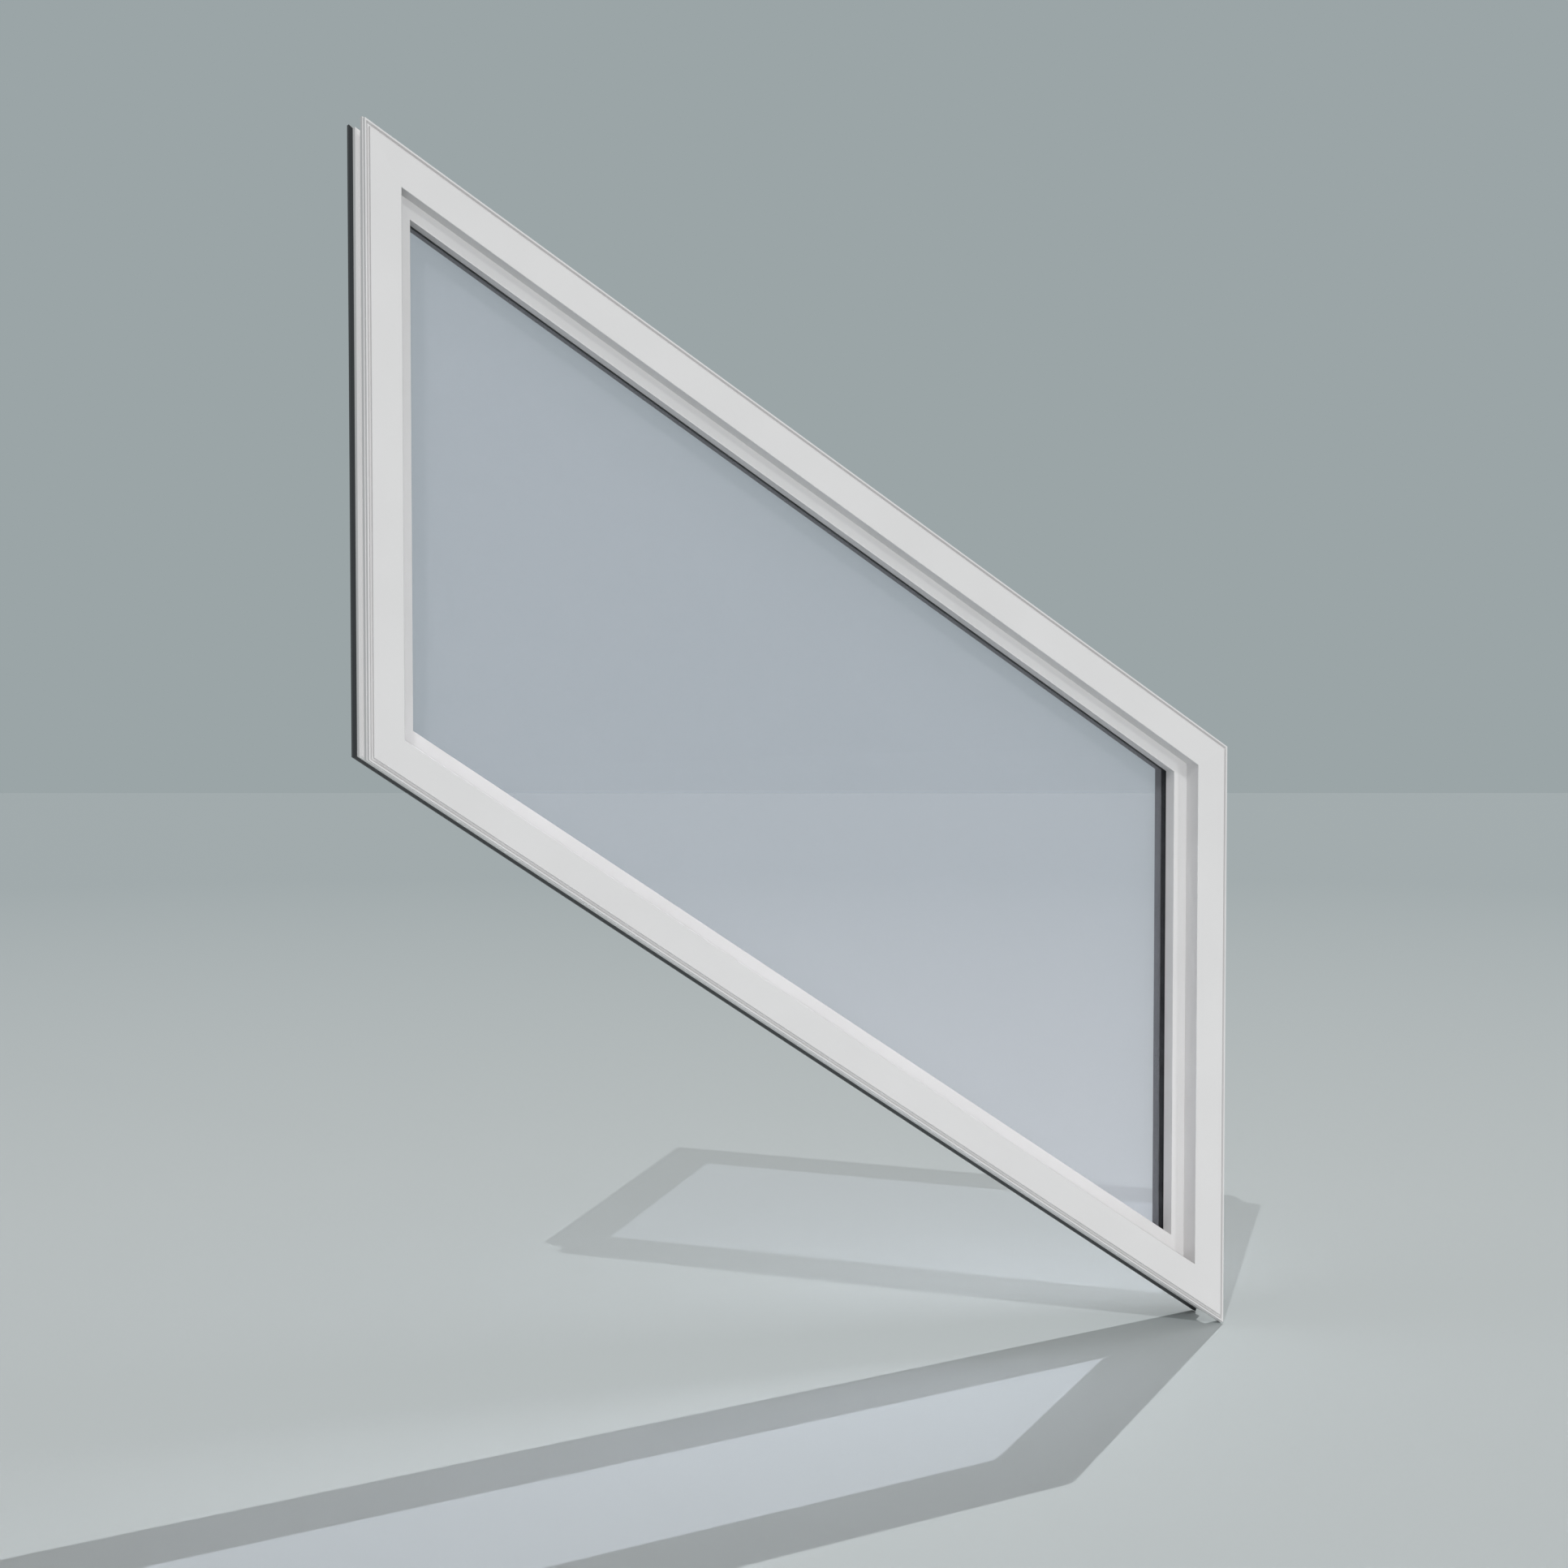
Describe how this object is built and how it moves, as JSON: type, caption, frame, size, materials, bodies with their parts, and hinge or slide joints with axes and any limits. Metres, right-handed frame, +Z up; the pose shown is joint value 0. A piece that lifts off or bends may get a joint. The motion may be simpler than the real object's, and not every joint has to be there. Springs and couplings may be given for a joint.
{
  "type": "parallelogram picture window",
  "caption": "Fixed parallelogram window: white mitred frame with recessed glazing beads, double glazing with black edge spacers and a dark outside cap.",
  "frame": {"origin": "on the outer face of the left jamb's flange, half way up and in the middle of the flange's depth", "axes": "+X to the right seen from the room, +Y from the room out through the wall, +Z up"},
  "size_m": [0.9144, 0.0762, 1.2192],
  "materials": {
    "white_vinyl": "satin",
    "dark_cap": "matte",
    "black_seal": "matte",
    "black_spacer": "matte",
    "glass": "clear"
  },
  "bodies": {
    "root": {"frame_head": "white_vinyl", "frame_sill": "white_vinyl", "frame_jamb_left": "white_vinyl", "frame_jamb_right": "white_vinyl", "bead_head": "white_vinyl", "bead_sill": "white_vinyl", "bead_jamb_left": "white_vinyl", "bead_jamb_right": "white_vinyl", "cap_head": "dark_cap", "cap_sill": "dark_cap", "cap_jamb_left": "dark_cap", "cap_jamb_right": "dark_cap", "bead_seal_head": "black_seal", "bead_seal_sill": "black_seal", "bead_seal_jamb_left": "black_seal", "bead_seal_jamb_right": "black_seal", "glazing_tape_head": "black_seal", "glazing_tape_sill": "black_seal", "glazing_tape_jamb_left": "black_seal", "glazing_tape_jamb_right": "black_seal", "spacer_head": "black_spacer", "spacer_sill": "black_spacer", "spacer_jamb_left": "black_spacer", "spacer_jamb_right": "black_spacer", "inner_pane": "glass", "outer_pane": "glass"}
  },
  "joints": []
}
